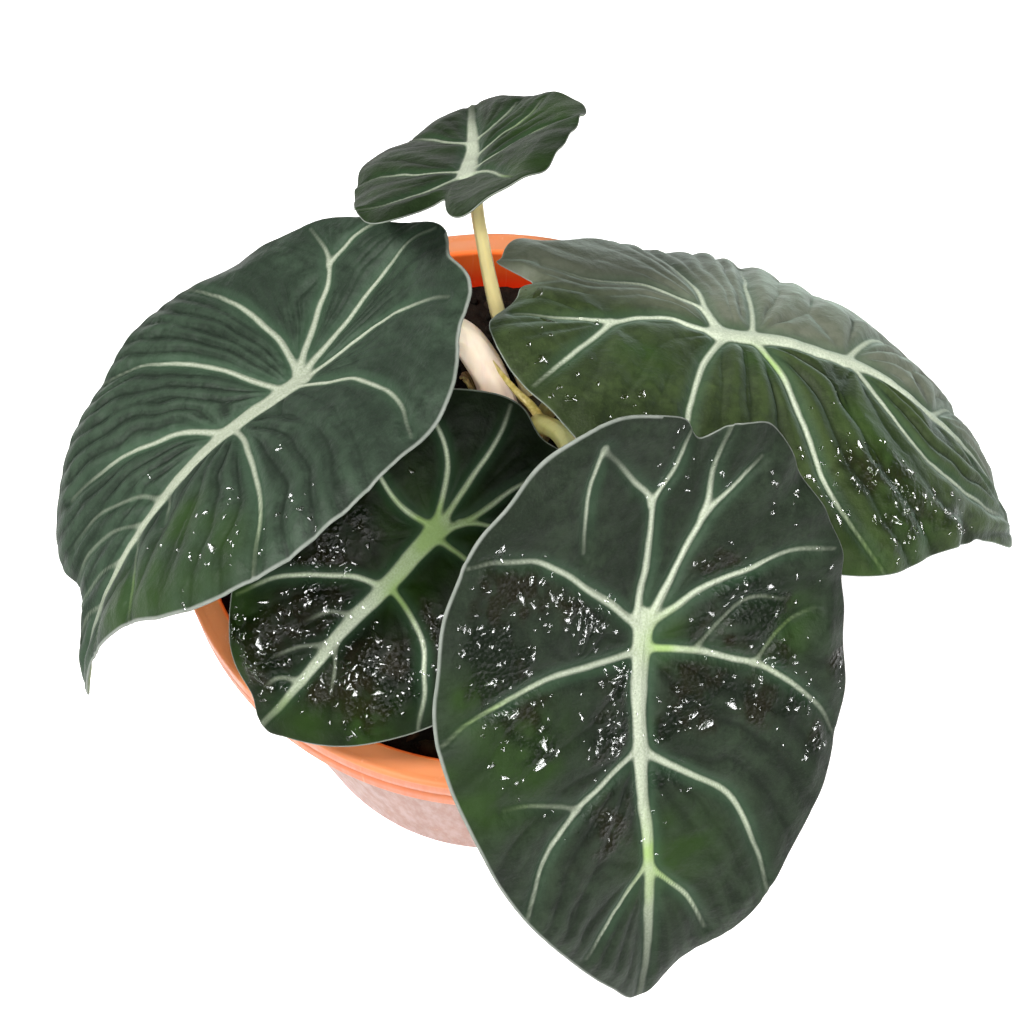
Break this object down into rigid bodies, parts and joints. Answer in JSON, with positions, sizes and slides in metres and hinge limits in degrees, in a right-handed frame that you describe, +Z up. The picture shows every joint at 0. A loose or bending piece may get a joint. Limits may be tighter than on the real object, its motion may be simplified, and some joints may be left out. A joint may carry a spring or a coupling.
{
  "type": "potted alocasia",
  "caption": "Small black-velvet alocasia with broad dark pale-veined leaves on slender stalks, in a round tapered terracotta-coloured plastic pot of soil.",
  "frame": {"origin": "centre of the pot's flat underside, on the surface that it stands on", "axes": "+Z up; -Y towards the large front leaf; +X towards the right leaf seen from the front"},
  "size_m": [0.1704, 0.1531, 0.1571],
  "materials": {
    "pot_plastic": "satin",
    "potting_mix": "matte",
    "rhizome_skin": "matte",
    "dry_sheath": "matte",
    "leaf_blade": "satin",
    "petiole": "satin",
    "pale_stalk": "satin"
  },
  "bodies": {
    "root": {"pot": "pot_plastic", "soil": "potting_mix", "rhizome": "rhizome_skin", "cataphyll": "dry_sheath", "leaf_left_blade": "leaf_blade", "leaf_left_petiole": "pale_stalk", "leaf_back_blade": "leaf_blade", "leaf_back_petiole": "petiole", "leaf_right_blade": "leaf_blade", "leaf_right_petiole": "petiole", "leaf_front_blade": "leaf_blade", "leaf_front_petiole": "petiole", "leaf_inner_blade": "leaf_blade", "leaf_inner_petiole": "petiole"}
  },
  "joints": []
}
